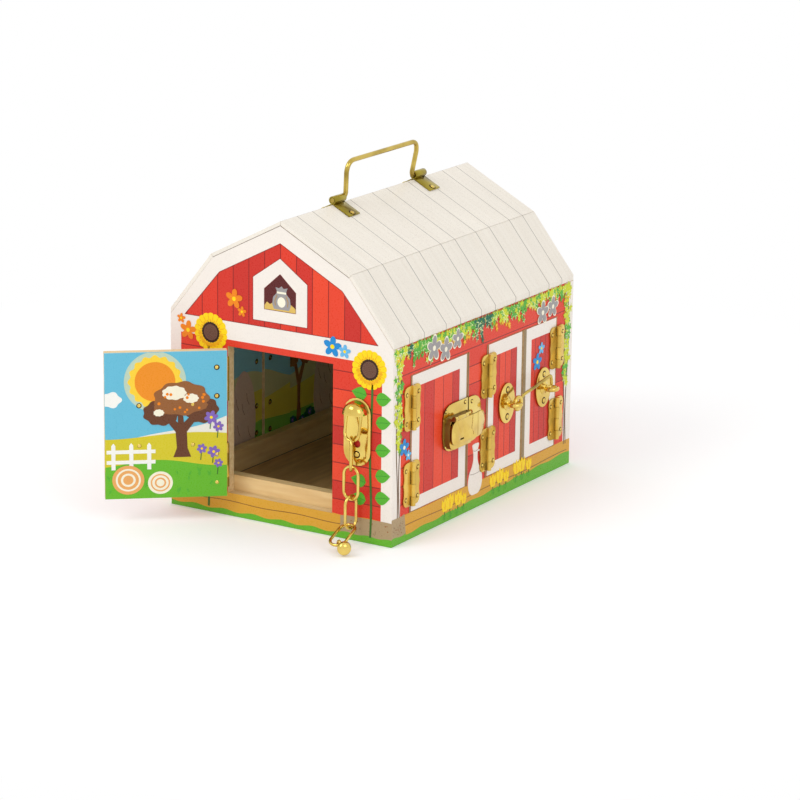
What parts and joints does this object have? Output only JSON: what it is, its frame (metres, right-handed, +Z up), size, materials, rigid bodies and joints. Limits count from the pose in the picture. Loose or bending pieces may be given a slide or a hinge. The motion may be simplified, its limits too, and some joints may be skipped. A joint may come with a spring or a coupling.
{
  "type": "toy barn with opening doors",
  "caption": "Wooden toy barn with gambrel roof, hinged doors, brass latches, chain and folding carry handle.",
  "frame": {"origin": "middle of the wall footprint, on the surface that the barn stands on", "axes": "+X to the right along the front wall, +Y from the front to the back, +Z up"},
  "size_m": [0.2567, 0.3772, 0.2988],
  "materials": {
    "red_board": "painted, satin",
    "white_board": "painted, satin",
    "bare_wood": "clear lacquer",
    "hardware": "bright plated"
  },
  "bodies": {
    "barn": {"base_tray": "bare_wood", "front_wall": "red_board", "back_wall": "red_board", "right_wall": "red_board", "left_wall": "red_board", "roof_lower_right": "white_board", "roof_upper_right": "white_board", "roof_lower_left": "white_board", "roof_upper_left": "white_board", "handle_strap_front": "hardware", "handle_strap_rear": "hardware", "front_door_hinge_upper_wall_leaf": "hardware", "front_door_hinge_lower_wall_leaf": "hardware", "single_door_hinge_upper_wall_leaf": "hardware", "single_door_hinge_lower_wall_leaf": "hardware", "double_door_front_hinge_upper_wall_leaf": "hardware", "double_door_front_hinge_lower_wall_leaf": "hardware", "double_door_rear_hinge_upper_wall_leaf": "hardware", "double_door_rear_hinge_lower_wall_leaf": "hardware", "far_door_front_hinge_upper_wall_leaf": "hardware", "far_door_front_hinge_lower_wall_leaf": "hardware", "far_door_rear_hinge_upper_wall_leaf": "hardware", "far_door_rear_hinge_lower_wall_leaf": "hardware", "latch_catch": "hardware", "chain_plate": "hardware", "bolt_keeper": "hardware"},
    "handle": {"carry_handle": "hardware"},
    "front_door": {"front_door": "red_board", "front_door_hinge_upper_door_leaf": "hardware", "front_door_hinge_lower_door_leaf": "hardware", "chain_track": "hardware"},
    "single_door": {"single_door": "red_board", "single_door_hinge_upper_door_leaf": "hardware", "single_door_hinge_lower_door_leaf": "hardware", "latch_base": "hardware"},
    "latch_cover": {"latch_cover": "hardware"},
    "double_door_front": {"double_door_front": "red_board", "double_door_front_hinge_upper_door_leaf": "hardware", "double_door_front_hinge_lower_door_leaf": "hardware", "hook_pivot_plate": "hardware"},
    "cabin_hook": {"cabin_hook": "hardware"},
    "double_door_rear": {"double_door_rear": "red_board", "double_door_rear_hinge_upper_door_leaf": "hardware", "double_door_rear_hinge_lower_door_leaf": "hardware", "hook_eye_plate": "hardware"},
    "far_door_front": {"far_door_front": "red_board", "far_door_front_hinge_upper_door_leaf": "hardware", "far_door_front_hinge_lower_door_leaf": "hardware"},
    "far_door_rear": {"far_door_rear": "red_board", "far_door_rear_hinge_upper_door_leaf": "hardware", "far_door_rear_hinge_lower_door_leaf": "hardware", "bolt_guide": "hardware"},
    "door_bolt": {"door_bolt": "hardware"},
    "turn_button": {"turn_button": "hardware"},
    "chain_link_1": {"chain_link_1": "hardware"},
    "chain_link_2": {"chain_link_2": "hardware"},
    "chain_link_3": {"chain_link_3": "hardware"},
    "chain_link_4": {"chain_link_4": "hardware"},
    "chain_link_5": {"chain_link_5": "hardware"},
    "chain_knob": {"chain_knob": "hardware"}
  },
  "joints": [
    {"name": "handle_swing", "type": "hinge", "parent": "barn", "child": "handle", "pos_m": [0, 0.0015, 0.26552], "axis": [0, 1, 0], "range_deg": [-124, 109]},
    {"name": "front_door_hinge", "type": "hinge", "parent": "barn", "child": "front_door", "pos_m": [-0.052, -0.153, 0.0841], "axis": [0, 0, -1], "range_deg": [-140, 30]},
    {"name": "single_door_hinge", "type": "hinge", "parent": "barn", "child": "single_door", "pos_m": [0.1135, -0.1214, 0.08215], "axis": [0, 0, -1], "range_deg": [0, 170]},
    {"name": "latch_cover_flip", "type": "hinge", "parent": "single_door", "child": "latch_cover", "pos_m": [0.1201, -0.0573, 0.09215], "axis": [0, -1, 0], "range_deg": [0, 100]},
    {"name": "double_door_front_hinge", "type": "hinge", "parent": "barn", "child": "double_door_front", "pos_m": [0.1135, 0.0031, 0.08215], "axis": [0, 0, -1], "range_deg": [0, 110]},
    {"name": "cabin_hook_lift", "type": "hinge", "parent": "double_door_front", "child": "cabin_hook", "pos_m": [0.1205, 0.0395, 0.08215], "axis": [1, 0, 0], "range_deg": [-8.5, 95]},
    {"name": "double_door_rear_hinge", "type": "hinge", "parent": "barn", "child": "double_door_rear", "pos_m": [0.1135, 0.1221, 0.08215], "axis": [0, 0, 1], "range_deg": [0, 110]},
    {"name": "far_door_front_hinge", "type": "hinge", "parent": "barn", "child": "far_door_front", "pos_m": [-0.1135, -0.0223, 0.08215], "axis": [0, 0, -1], "range_deg": [0, 110]},
    {"name": "far_door_rear_hinge", "type": "hinge", "parent": "barn", "child": "far_door_rear", "pos_m": [-0.1135, 0.1093, 0.08215], "axis": [0, 0, -1], "range_deg": [0, 170]},
    {"name": "door_bolt_slide", "type": "slide", "parent": "far_door_rear", "child": "door_bolt", "axis": [0, 1, 0], "range_m": [-0.0135, 0]},
    {"name": "turn_button_turn", "type": "hinge", "parent": "barn", "child": "turn_button", "pos_m": [-0.1125, -0.1201, 0.08215], "axis": [1, 0, 0], "range_deg": [-90, 0]},
    {"name": "chain_link_1_swing", "type": "hinge", "parent": "barn", "child": "chain_link_1", "pos_m": [0.0776, -0.1563, 0.1135], "axis": [0, 1, 0], "range_deg": [-15, 15]},
    {"name": "chain_link_2_swing", "type": "hinge", "parent": "chain_link_1", "child": "chain_link_2", "pos_m": [0.0776, -0.1614, 0.089], "axis": [-1, 0, 0], "range_deg": [0, 60]},
    {"name": "chain_link_3_swing", "type": "hinge", "parent": "chain_link_2", "child": "chain_link_3", "pos_m": [0.0776, -0.16085, 0.0639], "axis": [0, 1, 0], "range_deg": [-45, 45]},
    {"name": "chain_link_4_swing", "type": "hinge", "parent": "chain_link_3", "child": "chain_link_4", "pos_m": [0.0776, -0.16085, 0.0389], "axis": [-1, 0, 0], "range_deg": [0, 60]},
    {"name": "chain_link_5_swing", "type": "hinge", "parent": "chain_link_4", "child": "chain_link_5", "pos_m": [0.0776, -0.16085, 0.01677], "axis": [0.9994, 0.0349, 0], "range_deg": [-30, 40]},
    {"name": "chain_knob_swing", "type": "hinge", "parent": "chain_link_5", "child": "chain_knob", "pos_m": [0.08245, -0.1855, 0.00677], "axis": [0.5592, 0.829, 0], "range_deg": [-30, 60]}
  ],
  "couplings": [
    {"joint": "double_door_rear_hinge", "follows": "double_door_front_hinge", "ratio": 1}
  ]
}
